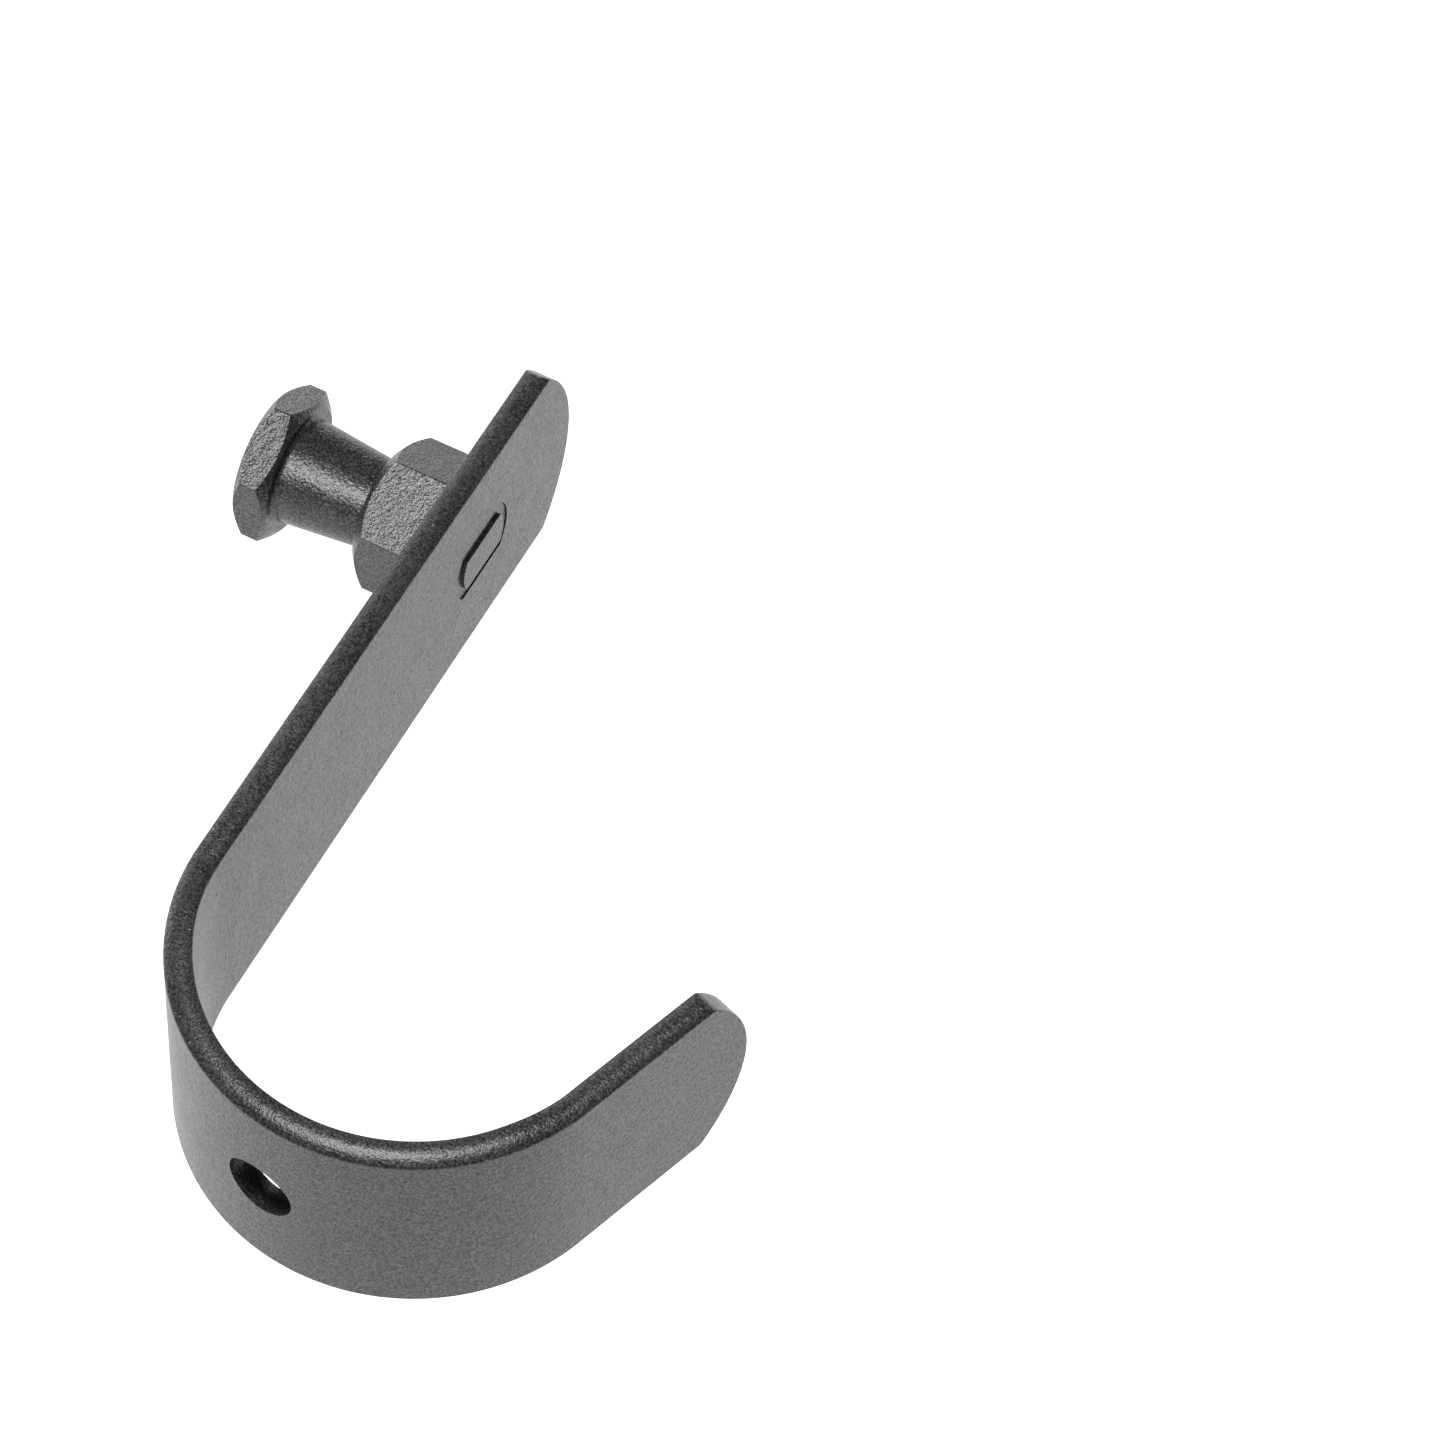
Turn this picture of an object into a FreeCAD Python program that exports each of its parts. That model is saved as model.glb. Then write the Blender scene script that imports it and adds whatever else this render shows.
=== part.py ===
import FreeCAD, Part

import math
import os

# Safety chain hook: a flat bar bent to a J, with a hexagonal stud staked through its long leg.
# Frame, in millimetres, with the hook lying on one long edge of the bar:
#   origin  on the stud's axis, in the plane of the shoulder that meets a keyhole plate
#   +X      along the stud's axis, from the shoulder to the bar and on over the open throat
#   +Y      along the long leg, from the bend to the leg's end
#   +Z      up, across the bar's width

# Bar
bar_width = 44.45
bar_thickness = 4.76
edge_crown_radius = 4.5     # of the rolled long edges, across the thickness
edge_corner_radius = 0.5    # between a long edge and a wide face
bend_radius = 38.1          # of the middle of the thickness
bend_angle = 160.5          # degrees turned from the leg to the tip
stud_to_bend = 89.2         # from the stud's axis to the start of the bend
stud_to_leg_end = 33.0      # from the stud's axis to the far point of the leg's round end
tip_length = 36.6           # from the end of the bend to the far point of the tip's round end
bend_swell = 0.7            # how much wider, on each side, the bar is inside the bend than outside it
bend_swell_run = 20.0       # degrees of bend over which the swelling comes in, and goes again
bend_sections = 33          # sections the bend is drawn through
end_radius = 30.8           # of the round ends, across the width
leg_corner_radius = 2.0     # where the leg's round end meets a long edge
tip_corner_radius = 4.5     # where the tip's round end meets a long edge
end_side_allowance = 0.05   # the round end starts this far outside the long edge
end_edge_round = 0.3        # along the cut edges of a round end
bend_hole_radius = 6.35     # hole through the middle of the bend

# Stud
hex_across_flats = 25.4
hex_edge_round = 0.3        # along the hexagon's long edges
body_length = 15.0          # hexagonal body, from the bar to the shoulder
shoulder_radius = 11.2      # flat ring of the shoulder, inside its chamfer
shoulder_chamfer = 38.0     # degrees between the chamfer and the shoulder's plane
neck_length = 16.9          # from the shoulder to the head: takes a 5/8 in plate
neck_radius_at_body = 8.25
neck_radius_at_head = 9.9
neck_fillet = 0.9
head_length = 6.46
head_inner_radius = 11.9    # flat ring under the head, inside its chamfer
head_inner_chamfer = 30.0
head_outer_radius = 12.4    # flat end of the head, inside its chamfer
head_outer_chamfer = 38.0
turned_radius = 16.0        # of the turned shape where only the hexagon limits it

# Joint between stud and bar: a round tenon with two flats, in a hole of the same shape, staked
joint_hole_radius = 9.3
joint_hole_flats = 12.4
joint_clearance = 0.1       # on each side of the tenon
stake_depth = 0.27          # from the bar's inner face down to the staked rim of the tenon
land_radius = 7.25          # the middle of the tenon, which the staking leaves standing
land_flats = 7.75
land_proud = 0.4            # above the bar's inner face

# Worked out
half_width = bar_width / 2
half_thickness = bar_thickness / 2
bar_x = body_length + half_thickness          # middle of the leg's thickness
inner_face_x = body_length + bar_thickness
bend_start = FreeCAD.Vector(bar_x, -stud_to_bend, 0)
bend_center = bend_start + FreeCAD.Vector(bend_radius, 0, 0)
cut_margin = 5.0                              # how far a cutting shape runs past the part
tolerance = 0.01                              # sizes this close count as the same
X_AXIS = FreeCAD.Vector(1, 0, 0)
Y_AXIS = FreeCAD.Vector(0, 1, 0)
Z_AXIS = FreeCAD.Vector(0, 0, 1)


def arc_by_angles(center, radius, start_deg, end_deg, first_axis, second_axis):
    """An arc whose angles are measured from first_axis towards second_axis."""
    points = []
    for angle in (start_deg, (start_deg + end_deg) / 2, end_deg):
        turn = math.radians(angle)
        along_first = first_axis * (radius * math.cos(turn))
        along_second = second_axis * (radius * math.sin(turn))
        points.append(center + along_first + along_second)
    return Part.Arc(*points).toShape()


def swell_at(x, swell):
    """How far the swell moves a long edge out: nothing at the outer face, all of it at the inner."""
    return swell * (x + half_thickness) / bar_thickness


def section_arc(center_x, center_z, radius, angles, swell, side):
    """One arc of the section, in the plane of the bend's start."""
    points = []
    for angle in angles:
        turn = math.radians(angle)
        x = center_x + radius * math.cos(turn)
        z = center_z + radius * math.sin(turn) + swell_at(x, swell)
        points.append(bend_start + FreeCAD.Vector(x, 0, z * side))
    return Part.Arc(*points).toShape()


def bar_section(swell=0.0):
    """The bar's outline at the start of the bend: flat wide faces and crowned long edges."""
    crown_z = half_width - edge_crown_radius
    corner_x = half_thickness - edge_corner_radius
    corner_reach = edge_crown_radius - edge_corner_radius
    corner_z = crown_z + math.sqrt(corner_reach ** 2 - corner_x ** 2)
    join = math.degrees(math.acos(corner_x / corner_reach))
    edges = []
    for side in (1, -1):
        edges.append(section_arc(corner_x, corner_z, edge_corner_radius,
                                 (0, join / 2, join), swell, side))
        edges.append(section_arc(0, crown_z, edge_crown_radius,
                                 (join, 90, 180 - join), swell, side))
        edges.append(section_arc(-corner_x, corner_z, edge_corner_radius,
                                 (180 - join, 180 - join / 2, 180), swell, side))
    for face_x in (half_thickness, -half_thickness):
        end_z = corner_z + swell_at(face_x, swell)
        top = bend_start + FreeCAD.Vector(face_x, 0, end_z)
        edges.append(Part.makeLine(top, top - Z_AXIS * (2 * end_z)))
    return Part.Wire(Part.__sortEdges__(edges))


def round_end_blank(length, corner_radius):
    """A flat slab along +Y from the start of the bend, with the outline of a round end."""
    side_z = half_width + end_side_allowance
    reach = end_radius - corner_radius
    corner_z = side_z - corner_radius
    corner_y = math.sqrt(reach ** 2 - corner_z ** 2)
    join = math.degrees(math.atan2(corner_z, corner_y))
    near = bend_start - X_AXIS * (half_thickness + cut_margin) - Y_AXIS * cut_margin
    center = near + Y_AXIS * (cut_margin + length - end_radius)
    edges = [arc_by_angles(center, end_radius, -join, join, Y_AXIS, Z_AXIS)]
    for side in (1, -1):
        out = Z_AXIS * side
        corner = center + Y_AXIS * corner_y + out * corner_z
        edges.append(arc_by_angles(corner, corner_radius, join, 90, Y_AXIS, out))
        edges.append(Part.makeLine(corner + out * corner_radius, near + out * side_z))
    edges.append(Part.makeLine(near + Z_AXIS * side_z, near - Z_AXIS * side_z))
    outline = Part.Wire(Part.__sortEdges__(edges))
    return Part.Face(outline).extrude(X_AXIS * (bar_thickness + 2 * cut_margin))


def straight_length(length, corner_radius):
    """A straight length of bar along +Y from the start of the bend, its far end round."""
    square_ended = Part.Face(bar_section()).extrude(Y_AXIS * length)
    bar = square_ended.common(round_end_blank(length, corner_radius))
    cut_edges = []
    for face in bar.Faces:
        surface = face.Surface
        if isinstance(surface, Part.Cylinder) and abs(surface.Axis.x) > 1 - tolerance:
            for edge in face.Edges:
                box = edge.BoundBox
                if box.YLength > tolerance or box.ZLength > tolerance:
                    cut_edges.append(edge)
    return bar.makeFillet(end_edge_round, cut_edges)


def bent_length():
    """The bend: the section carried round, swelling on the inside as bent metal does."""
    sections = []
    for index in range(bend_sections):
        angle = bend_angle * index / (bend_sections - 1)
        reach = min(angle, bend_angle - angle, bend_swell_run) / bend_swell_run
        section = bar_section(bend_swell * reach * reach * (3 - 2 * reach))
        section.rotate(bend_center, Z_AXIS, angle)
        sections.append(section)
    return Part.makeLoft(sections, True)


def double_d(radius, flats, start_x, end_x):
    """A round bar on the stud's axis with two flats that face +Z and -Z."""
    length = end_x - start_x
    base = FreeCAD.Vector(start_x, 0, 0)
    corner = base - FreeCAD.Vector(0, radius + cut_margin, flats / 2)
    slab = Part.makeBox(length, 2 * (radius + cut_margin), flats, corner)
    return Part.makeCylinder(radius, length, base, X_AXIS).common(slab)


def hook_bar():
    """The bent bar: long leg, bend and tip, with the stud's hole and the hole in the bend."""
    leg = straight_length(stud_to_bend + stud_to_leg_end, leg_corner_radius)
    bend = bent_length()
    tip = straight_length(tip_length, tip_corner_radius)
    tip.rotate(bend_start, Z_AXIS, 180)
    tip.rotate(bend_center, Z_AXIS, bend_angle)
    bar = leg.fuse([bend, tip]).removeSplitter()

    stud_hole = double_d(joint_hole_radius, joint_hole_flats,
                         body_length - cut_margin, inner_face_x + cut_margin)

    middle_turn = math.radians(bend_angle / 2)
    outward = FreeCAD.Vector(-math.cos(middle_turn), -math.sin(middle_turn), 0)
    hole_start = bend_center + outward * (bend_radius - half_thickness - cut_margin)
    hole_length = bar_thickness + 2 * cut_margin
    bend_hole = Part.makeCylinder(bend_hole_radius, hole_length, hole_start, outward)
    return bar.cut([stud_hole, bend_hole])


def turned_stud():
    """The stud as turned, before the hexagon limits it: head, neck and body."""
    def rise(radius, chamfer):
        return (turned_radius - radius) * math.tan(math.radians(chamfer))

    head_inner_x = -neck_length
    head_outer_x = -neck_length - head_length
    profile = [
        (head_outer_x, 0),
        (head_outer_x, head_outer_radius),
        (head_outer_x + rise(head_outer_radius, head_outer_chamfer), turned_radius),
        (head_inner_x - rise(head_inner_radius, head_inner_chamfer), turned_radius),
        (head_inner_x, head_inner_radius),
        (head_inner_x, neck_radius_at_head),
        (0, neck_radius_at_body),
        (0, shoulder_radius),
        (rise(shoulder_radius, shoulder_chamfer), turned_radius),
        (body_length, turned_radius),
        (body_length, 0),
        (head_outer_x, 0),
    ]
    outline = Part.makePolygon([FreeCAD.Vector(x, r, 0) for x, r in profile])
    turned = Part.Face(outline).revolve(FreeCAD.Vector(0, 0, 0), X_AXIS, 360)
    neck_ends = []
    for edge in turned.Edges:
        box = edge.BoundBox
        radius = box.ZLength / 2
        for x, neck_radius in ((0, neck_radius_at_body), (head_inner_x, neck_radius_at_head)):
            is_round = box.XLength < tolerance and abs(radius - neck_radius) < tolerance
            if is_round and abs(box.XMin - x) < tolerance:
                neck_ends.append(edge)
    return turned.makeFillet(neck_fillet, neck_ends)


def hex_stud():
    """The hexagonal stud, one corner of the hexagon up, with its staked tenon."""
    corner_radius = hex_across_flats / 2 / math.cos(math.radians(30))
    start_x = -neck_length - head_length - cut_margin
    corners = []
    for angle in range(90, 90 + 360 + 60, 60):
        turn = math.radians(angle)
        y = corner_radius * math.cos(turn)
        z = corner_radius * math.sin(turn)
        corners.append(FreeCAD.Vector(start_x, y, z))
    outline = Part.makePolygon(corners)
    hexagon = Part.Face(outline).extrude(X_AXIS * (body_length - start_x + cut_margin))
    long_edges = [edge for edge in hexagon.Edges if edge.BoundBox.XLength > body_length]
    blank = turned_stud().common(hexagon.makeFillet(hex_edge_round, long_edges))
    tenon = double_d(joint_hole_radius - joint_clearance, joint_hole_flats - 2 * joint_clearance,
                     body_length, inner_face_x - stake_depth)
    land = double_d(land_radius, land_flats, body_length, inner_face_x + land_proud)
    return blank.fuse([tenon, land]).removeSplitter()


def main():
    os.makedirs("parts", exist_ok=True)
    pieces = {"hook_bar": hook_bar(), "hex_stud": hex_stud()}
    for name, shape in pieces.items():
        shape.exportStep("parts/" + name + ".step")
        box = shape.BoundBox
        print(name, shape.ShapeType, shape.isValid(), "solids", len(shape.Solids),
              "volume", round(shape.Volume, 1), "size",
              round(box.XLength, 2), round(box.YLength, 2), round(box.ZLength, 2))


main()
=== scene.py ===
import math

import bpy
import bmesh
from bpy.props import FloatProperty, FloatVectorProperty, PointerProperty
from mathutils import Matrix, Vector


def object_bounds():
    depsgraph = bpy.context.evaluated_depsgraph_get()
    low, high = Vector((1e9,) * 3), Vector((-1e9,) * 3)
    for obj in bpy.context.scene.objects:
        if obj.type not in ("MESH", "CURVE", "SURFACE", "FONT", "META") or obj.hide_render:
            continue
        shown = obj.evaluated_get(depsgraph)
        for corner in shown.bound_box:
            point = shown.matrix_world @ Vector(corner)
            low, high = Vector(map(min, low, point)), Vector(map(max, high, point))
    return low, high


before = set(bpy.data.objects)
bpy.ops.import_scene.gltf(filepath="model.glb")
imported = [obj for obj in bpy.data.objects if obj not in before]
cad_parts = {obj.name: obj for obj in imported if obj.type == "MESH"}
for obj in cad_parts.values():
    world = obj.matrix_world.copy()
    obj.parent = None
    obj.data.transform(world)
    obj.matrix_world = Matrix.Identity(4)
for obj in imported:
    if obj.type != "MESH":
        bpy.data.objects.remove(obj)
cad_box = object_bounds()

bl_info = {
    "name": "Safety chain hook",
    "version": (1, 0, 0),
    "blender": (4, 5, 0),
    "location": "View3D > Sidebar > Hook",
    "description": "Coats the bent bar and the staked stud of a safety chain hook, and sets its stage",
    "category": "Object",
}


# Shader maths as Python expressions

class Value:
    """A shader socket that takes part in ordinary arithmetic."""

    def __init__(self, nodes, socket):
        self.nodes = nodes
        self.socket = socket

    def _math(self, operation, first, second):
        node = self.nodes.add("ShaderNodeMath", {"operation": operation}, {0: first, 1: second})
        return Value(self.nodes, node.outputs[0])

    def __add__(self, other):
        return self._math("ADD", self, other)

    def __radd__(self, other):
        return self._math("ADD", other, self)

    def __sub__(self, other):
        return self._math("SUBTRACT", self, other)

    def __rsub__(self, other):
        return self._math("SUBTRACT", other, self)

    def __mul__(self, other):
        return self._math("MULTIPLY", self, other)

    def __rmul__(self, other):
        return self._math("MULTIPLY", other, self)

    def __lt__(self, other):
        return self._math("LESS_THAN", self, other)

    def smooth(self, low, high):
        """0 below low, 1 above high, and a smooth step between."""
        node = self.nodes.add(
            "ShaderNodeMapRange", {"interpolation_type": "SMOOTHSTEP"},
            {"Value": self, "From Min": low, "From Max": high, "To Min": 0.0, "To Max": 1.0})
        return Value(self.nodes, node.outputs["Result"])


class Nodes:
    """The node tree of one material."""

    def __init__(self, name):
        self.material = bpy.data.materials.new(name)
        self.material.use_nodes = True
        self.tree = self.material.node_tree
        self.tree.nodes.clear()

    def add(self, kind, settings=None, inputs=None):
        """A node with its settings made first, then its sockets given values or links."""
        node = self.tree.nodes.new(kind)
        for name, value in (settings or {}).items():
            setattr(node, name, value)
        for name, value in (inputs or {}).items():
            socket = node.inputs[name]
            if isinstance(value, Value):
                self.tree.links.new(value.socket, socket)
            elif isinstance(value, bpy.types.NodeSocket):
                self.tree.links.new(value, socket)
            else:
                socket.default_value = value
        return node

    def value(self, node, output=0):
        return Value(self, node.outputs[output])


def rgba(colour, strength=1.0):
    """A colour made stronger or weaker, with its alpha."""
    return (*[part * strength for part in colour], 1.0)


# Sizes and colours that a user would change

class HookCoat(bpy.types.PropertyGroup):
    colour: FloatVectorProperty(
        name="Coat colour", description="Colour of the powder coat", subtype="COLOR",
        size=3, min=0, max=1, default=(0.027, 0.0272, 0.029))
    dust: FloatVectorProperty(
        name="Speck colour", description="Colour of the pale specks in the coat", subtype="COLOR",
        size=3, min=0, max=1, default=(0.30, 0.30, 0.31))
    bar_roughness: FloatProperty(
        name="Bar roughness", description="Roughness of the coat on the bar", subtype="FACTOR",
        min=0, max=1, default=0.32)
    stud_roughness: FloatProperty(
        name="Stud roughness", description="Roughness of the coat on the stud", subtype="FACTOR",
        min=0, max=1, default=0.30)
    bar_relief: FloatProperty(
        name="Bar relief", description="Height of the grain on the bar", unit="LENGTH",
        min=0, max=0.001, precision=6, default=0.00008)
    stud_relief: FloatProperty(
        name="Stud relief", description="Height of the grain on the stud", unit="LENGTH",
        min=0, max=0.001, precision=6, default=0.00012)
    bar_stretch: FloatProperty(
        name="Bar stretch", description="How many times longer the bar's grain is along Z",
        min=0.1, max=10, default=1.7)
    bar_grain: FloatProperty(
        name="Bar grain", description="Size of the coat's grain on the bar", unit="LENGTH",
        min=0.0001, max=0.005, default=0.0004)
    stud_grain: FloatProperty(
        name="Stud grain", description="Size of the coat's grain on the stud", unit="LENGTH",
        min=0.0001, max=0.005, default=0.00045)


class HookStage(bpy.types.PropertyGroup):
    floor_size: FloatProperty(
        name="Floor size", description="Radius of the round floor", unit="LENGTH",
        min=0.5, default=3.0)
    floor_grey: FloatProperty(
        name="Floor grey", description="How much of the lamps' light the floor gives back",
        subtype="FACTOR", min=0, max=1, default=0.25)
    floor_glow: FloatProperty(
        name="Floor glow", description="Brightness of the lit floor", min=0, default=1.64)
    room: FloatProperty(
        name="Room", description="Light that the room around the floor gives",
        min=0, default=0.045)
    camera_place: FloatVectorProperty(
        name="Camera place", description="Where the camera stands", subtype="TRANSLATION", size=3,
        default=(0.25094, -0.45441, 0.68788))
    camera_aim: FloatVectorProperty(
        name="Camera aim", description="The point the camera looks at", subtype="TRANSLATION",
        size=3, default=(0.0674, 0.0021, -0.0222))
    camera_roll: FloatProperty(
        name="Camera roll", description="Turn of the camera about its own view",
        subtype="ANGLE", default=math.radians(5.82))
    lens: FloatProperty(
        name="Lens", description="Focal length on a 36 mm sensor", unit="CAMERA",
        min=1, default=121.5)


# Finishes

def spots(nodes, place, spacing, radius, share):
    """Small round spots in some cells of an uneven grid: 1 in the middle of a spot, 0 outside."""
    cells = nodes.add(
        "ShaderNodeTexVoronoi", {"feature": "F1"}, {"Vector": place, "Scale": 1 / spacing})
    chance = nodes.add("ShaderNodeSeparateColor", {}, {"Color": cells.outputs["Color"]})
    size = (nodes.value(chance, 1) * 0.5 + 0.5) * (radius / spacing)
    past_core = nodes.value(cells, "Distance") - size * 0.5
    inside = 1.0 - past_core.smooth(0.0, 0.5 * radius / spacing)
    return inside * (nodes.value(chance, 0) < share)


def noise(nodes, place, size, detail):
    """Noise about zero whose features are about size across."""
    texture = nodes.add(
        "ShaderNodeTexNoise", {},
        {"Vector": place, "Scale": 1 / size, "Detail": detail, "Roughness": 0.55})
    return nodes.value(texture) - 0.5


def blend(nodes, factor, first, second):
    """One colour at factor 0 and another at 1, through a Mix node's own colour sockets."""
    mix = nodes.add("ShaderNodeMix", {"data_type": "RGBA"}, {"Factor": factor, 6: first, 7: second})
    return mix.outputs[2]


def worn_edge(nodes, radius):
    """1 along the sharp edges of the shape, 0 on its flats."""
    rounded = nodes.add("ShaderNodeBevel", {"samples": 6}, {"Radius": radius})
    plain = nodes.add("ShaderNodeNewGeometry")
    dot = nodes.add(
        "ShaderNodeVectorMath", {"operation": "DOT_PRODUCT"},
        {0: rounded.outputs[0], 1: plain.outputs["Normal"]})
    return (1.0 - nodes.value(dot, "Value")).smooth(0.005, 0.10)


def powder_coat(name, coat, roughness, grain, relief, stretch=1.0):
    """Satin powder coat: grain, slow drift in shade and gloss, pits, pale specks and rubbed edges."""
    nodes = Nodes(name)
    place = nodes.add("ShaderNodeTexCoord").outputs["Object"]
    drawn = nodes.add(
        "ShaderNodeMapping", {}, {"Vector": place, "Scale": (1.0, 1.0, 1 / stretch)}).outputs[0]

    fine = noise(nodes, drawn, size=grain, detail=2.0)
    coarse = noise(nodes, place, size=3.0 * grain, detail=1.0)
    broad = noise(nodes, place, size=0.009, detail=3.0)
    pit = spots(nodes, place, spacing=0.0045, radius=0.00032, share=0.45)
    speck = spots(nodes, place, spacing=0.0017, radius=0.00022, share=0.40)
    edge = worn_edge(nodes, radius=0.0004) * (coarse * 2.0 + 0.6)

    # Colour: dark to pale with the grain, paler again where rubbed, and pale specks over all
    shade = fine * 2.6 + broad * 0.7 + 0.5
    grained = blend(nodes, shade, rgba(coat.colour, 0.25), rgba(coat.colour, 1.75))
    rubbed = blend(nodes, edge * 0.5, grained, rgba(coat.colour, 3.0))
    dusty = blend(nodes, speck * 0.7, rubbed, rgba(coat.dust))

    # Gloss and relief follow the same grain
    gloss = roughness + broad * 0.12 + fine * 0.30 - edge * 0.06
    height = fine + coarse * 0.8 + speck * 0.5 - pit * 1.2
    bump = nodes.add("ShaderNodeBump", {}, {"Strength": 1.0, "Distance": relief, "Height": height})
    satin = nodes.add(
        "ShaderNodeBsdfPrincipled", {},
        {"Base Color": dusty, "Roughness": gloss, "Normal": bump.outputs[0],
         "Metallic": 0.0, "IOR": 1.5})

    # The hollows of the grain and the pits are matt and darker
    matt = nodes.add("ShaderNodeBsdfDiffuse", {}, {"Color": rgba(coat.colour, 0.3)})
    hollow = (fine * -1.0).smooth(-0.22, 0.22) * 0.45 + pit * 0.7
    surface = nodes.add(
        "ShaderNodeMixShader", {}, {0: hollow, 1: satin.outputs[0], 2: matt.outputs[0]})
    nodes.add("ShaderNodeOutputMaterial", {}, {"Surface": surface.outputs[0]})
    return nodes.material


def dress(node, material):
    """Gives a CAD node's mesh one material."""
    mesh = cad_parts[node].data
    mesh.materials.clear()
    mesh.materials.append(material)


# The pieces

class HOOK_OT_finish_bar(bpy.types.Operator):
    """Coat the bent bar"""
    bl_idname = "hook.finish_bar"
    bl_label = "Finish the bar"

    def execute(self, context):
        coat = context.scene.hook_coat
        dress("hook_bar", powder_coat(
            "bar_coat", coat, coat.bar_roughness, coat.bar_grain, coat.bar_relief, coat.bar_stretch))
        return {"FINISHED"}


class HOOK_OT_finish_stud(bpy.types.Operator):
    """Coat the staked hexagonal stud"""
    bl_idname = "hook.finish_stud"
    bl_label = "Finish the stud"

    def execute(self, context):
        coat = context.scene.hook_coat
        dress("hex_stud", powder_coat(
            "stud_coat", coat, coat.stud_roughness, coat.stud_grain, coat.stud_relief))
        return {"FINISHED"}


# Stage

def soft_light(name, azimuth, elevation, distance, size, radiance, aim, only=None):
    """A rectangular light that faces aim, azimuth 0 on the -Y side and 90 on the +X side.

    With only, it lights that one CAD node and nothing else."""
    data = bpy.data.lights.new(name, "AREA")
    data.shape = "RECTANGLE"
    data.size, data.size_y = size
    data.energy = radiance * math.pi * size[0] * size[1]
    light = bpy.data.objects.new(name, data)
    turn, rise = math.radians(azimuth), math.radians(elevation)
    level = Vector((math.sin(turn), -math.cos(turn), 0))
    direction = level * math.cos(rise) + Vector((0, 0, math.sin(rise)))
    light.location = Vector(aim) + direction * distance
    light.rotation_mode = "QUATERNION"
    light.rotation_quaternion = direction.to_track_quat("Z", "Y")
    bpy.context.scene.collection.objects.link(light)
    if only:
        lit = bpy.data.collections.new("lit_by_" + name)
        lit.objects.link(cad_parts[only])
        light.light_linking.receiver_collection = lit


def stage_object(name, shape, grey, glow):
    """A plain white object of the stage that glows, made from a finished bmesh."""
    mesh = bpy.data.meshes.new(name)
    shape.to_mesh(mesh)
    shape.free()
    nodes = Nodes(name + "_white")
    shader = nodes.add(
        "ShaderNodeBsdfPrincipled", {},
        {"Base Color": rgba((grey, grey, grey)), "Roughness": 0.8,
         "Emission Color": rgba((1.0, 1.0, 1.0)), "Emission Strength": glow})
    nodes.add("ShaderNodeOutputMaterial", {}, {"Surface": shader.outputs[0]})
    mesh.materials.append(nodes.material)
    item = bpy.data.objects.new(name, mesh)
    bpy.context.scene.collection.objects.link(item)
    return item


def lay_floor(stage, height):
    """A round floor, lit as from below, and a white backdrop that only the camera sees."""
    shape = bmesh.new()
    bmesh.ops.create_circle(shape, cap_ends=True, segments=96, radius=stage.floor_size)
    bmesh.ops.translate(shape, verts=shape.verts, vec=(0, 0, height))
    stage_object("floor", shape, stage.floor_grey, stage.floor_glow)

    shape = bmesh.new()
    bmesh.ops.create_uvsphere(shape, u_segments=64, v_segments=32, radius=stage.floor_size)
    backdrop = stage_object("backdrop", shape, grey=0.0, glow=1.0)
    backdrop.visible_diffuse = False
    backdrop.visible_glossy = False
    backdrop.visible_transmission = False
    backdrop.visible_shadow = False


def hang_lights(aim):
    """One box over the bar's bend, one over the stud, and three low ones behind the hook."""
    soft_light("bar_box", azimuth=-35, elevation=84, distance=1.2, size=(0.44, 0.44),
               radiance=32.0, aim=aim, only="hook_bar")
    soft_light("stud_box", azimuth=-9, elevation=58, distance=1.2, size=(0.70, 0.44),
               radiance=28.0, aim=aim, only="hex_stud")
    soft_light("back_box", azimuth=208, elevation=6, distance=1.6, size=(0.42, 0.28),
               radiance=10.0, aim=aim)
    soft_light("left_box", azimuth=258, elevation=8, distance=1.2, size=(0.76, 0.24),
               radiance=8.0, aim=aim)
    soft_light("high_back_box", azimuth=232, elevation=25, distance=1.4, size=(0.60, 0.50),
               radiance=2.5, aim=aim)


def fill_room(scene, strength):
    """The faint even light of the room."""
    world = bpy.data.worlds.new("room")
    world.use_nodes = True
    background = world.node_tree.nodes["Background"]
    background.inputs["Color"].default_value = (1, 1, 1, 1)
    background.inputs["Strength"].default_value = strength
    scene.world = world


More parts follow.
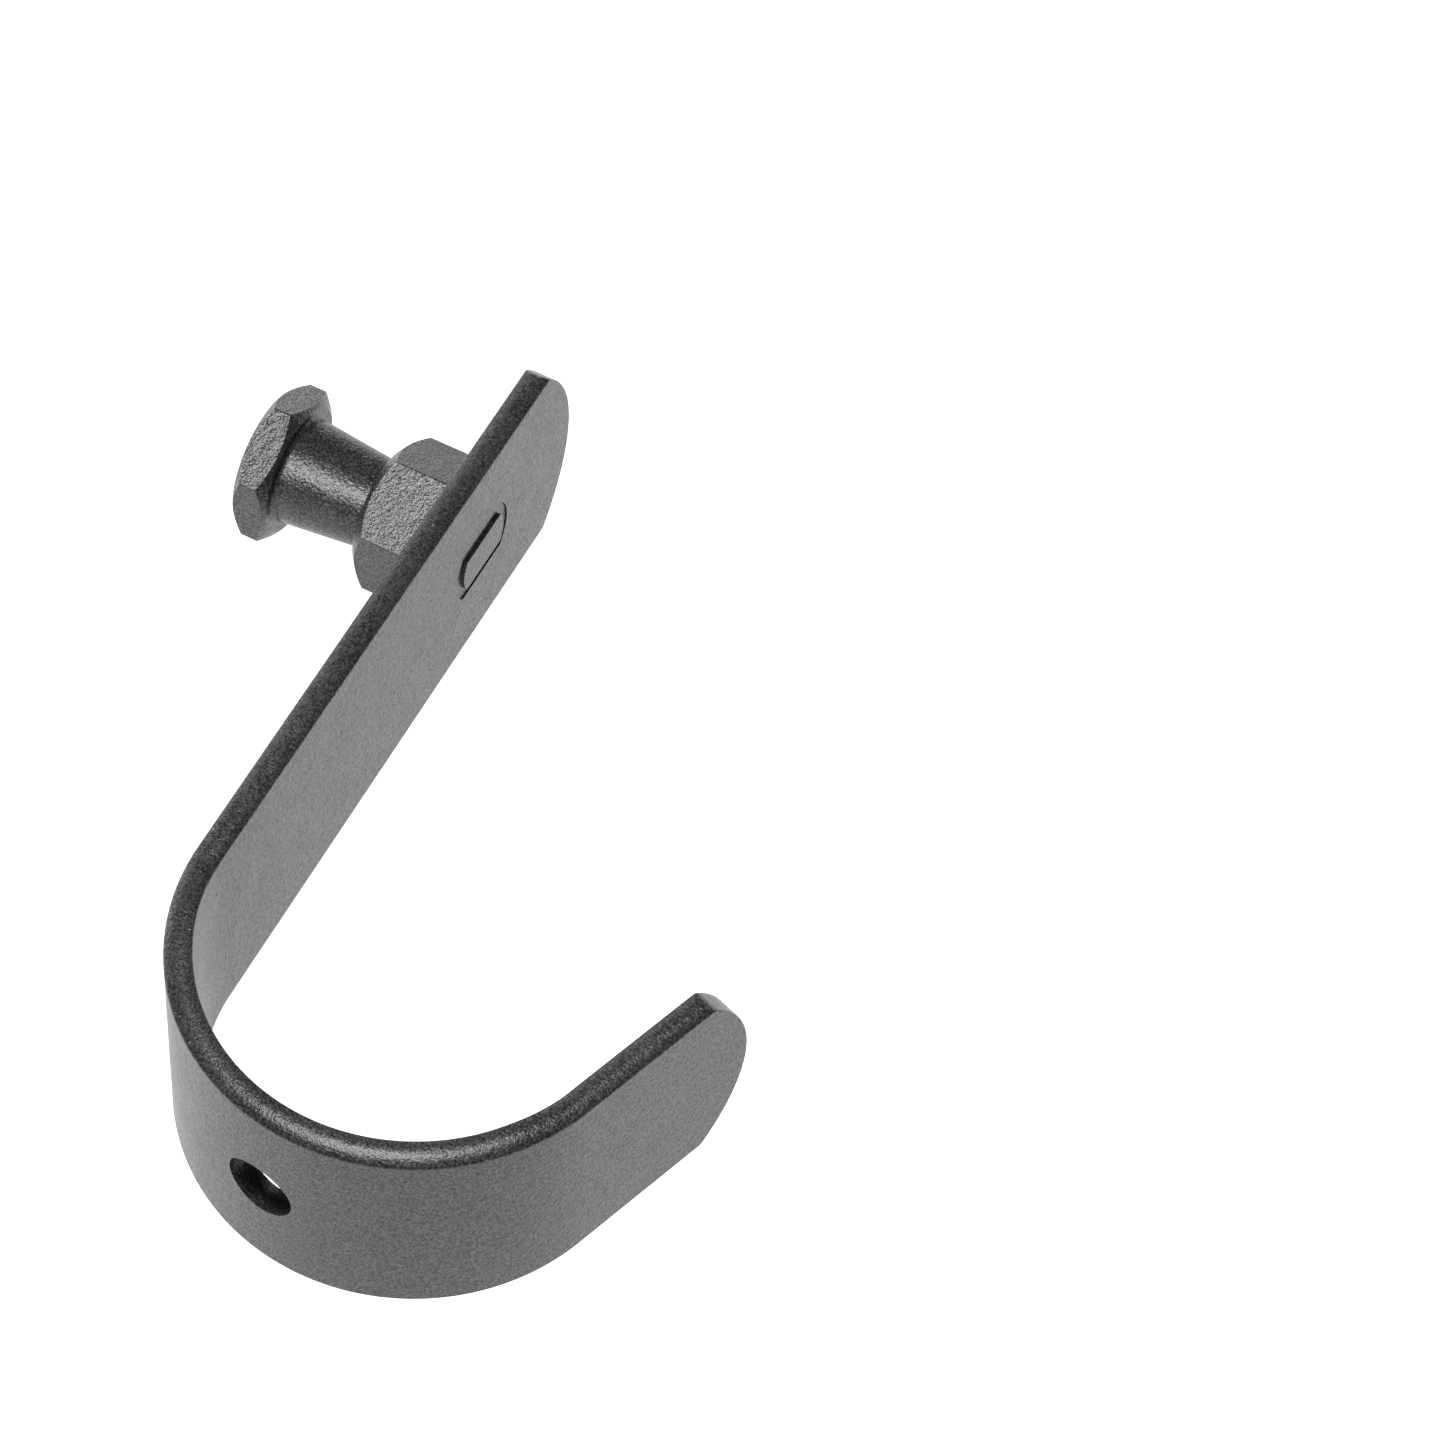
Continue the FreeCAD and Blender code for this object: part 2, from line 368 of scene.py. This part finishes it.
def stand_camera(scene, stage):
    """The camera at its place, turned to its aim and rolled."""
    data = bpy.data.cameras.new("camera")
    data.sensor_width = 36.0
    data.lens = stage.lens
    data.clip_start = 0.05
    data.clip_end = 20.0
    camera = bpy.data.objects.new("camera", data)
    forward = (Vector(stage.camera_aim) - Vector(stage.camera_place)).normalized()
    right = forward.cross(Vector((0, 0, 1))).normalized()
    right = Matrix.Rotation(-stage.camera_roll, 3, forward) @ right
    up = right.cross(forward)
    turn = Matrix((right, up, -forward)).transposed()
    camera.matrix_world = Matrix.Translation(stage.camera_place) @ turn.to_4x4()
    scene.collection.objects.link(camera)
    scene.camera = camera


class HOOK_OT_set_stage(bpy.types.Operator):
    """Lay the floor, hang the lights and stand the camera"""
    bl_idname = "hook.set_stage"
    bl_label = "Set the stage"

    def execute(self, context):
        scene = context.scene
        stage = scene.hook_stage
        low, high = cad_box
        lay_floor(stage, low.z)
        hang_lights((low + high) / 2)
        fill_room(scene, stage.room)
        stand_camera(scene, stage)
        scene.view_settings.view_transform = "Standard"
        return {"FINISHED"}


# Panel and registration

class HOOK_PT_panel(bpy.types.Panel):
    """The hook's pieces and stage"""
    bl_idname = "HOOK_PT_panel"
    bl_label = "Safety chain hook"
    bl_space_type = "VIEW_3D"
    bl_region_type = "UI"
    bl_category = "Hook"

    def draw(self, context):
        layout = self.layout
        coat = context.scene.hook_coat
        stage = context.scene.hook_stage
        for settings in (coat, stage):
            box = layout.box()
            for name in settings.__annotations__:
                box.prop(settings, name)
        for operator in OPERATORS:
            layout.operator(operator.bl_idname)


SETTINGS = {"hook_coat": HookCoat, "hook_stage": HookStage}
OPERATORS = (HOOK_OT_finish_bar, HOOK_OT_finish_stud, HOOK_OT_set_stage)
CLASSES = (*SETTINGS.values(), *OPERATORS, HOOK_PT_panel)


def register():
    for cls in CLASSES:
        bpy.utils.register_class(cls)
    for name, cls in SETTINGS.items():
        setattr(bpy.types.Scene, name, PointerProperty(type=cls))


def unregister():
    for name in SETTINGS:
        delattr(bpy.types.Scene, name)
    for cls in reversed(CLASSES):
        bpy.utils.unregister_class(cls)


def main():
    register()
    bpy.ops.hook.finish_bar()
    bpy.ops.hook.finish_stud()
    bpy.ops.hook.set_stage()


if __name__ == "__main__":
    main()
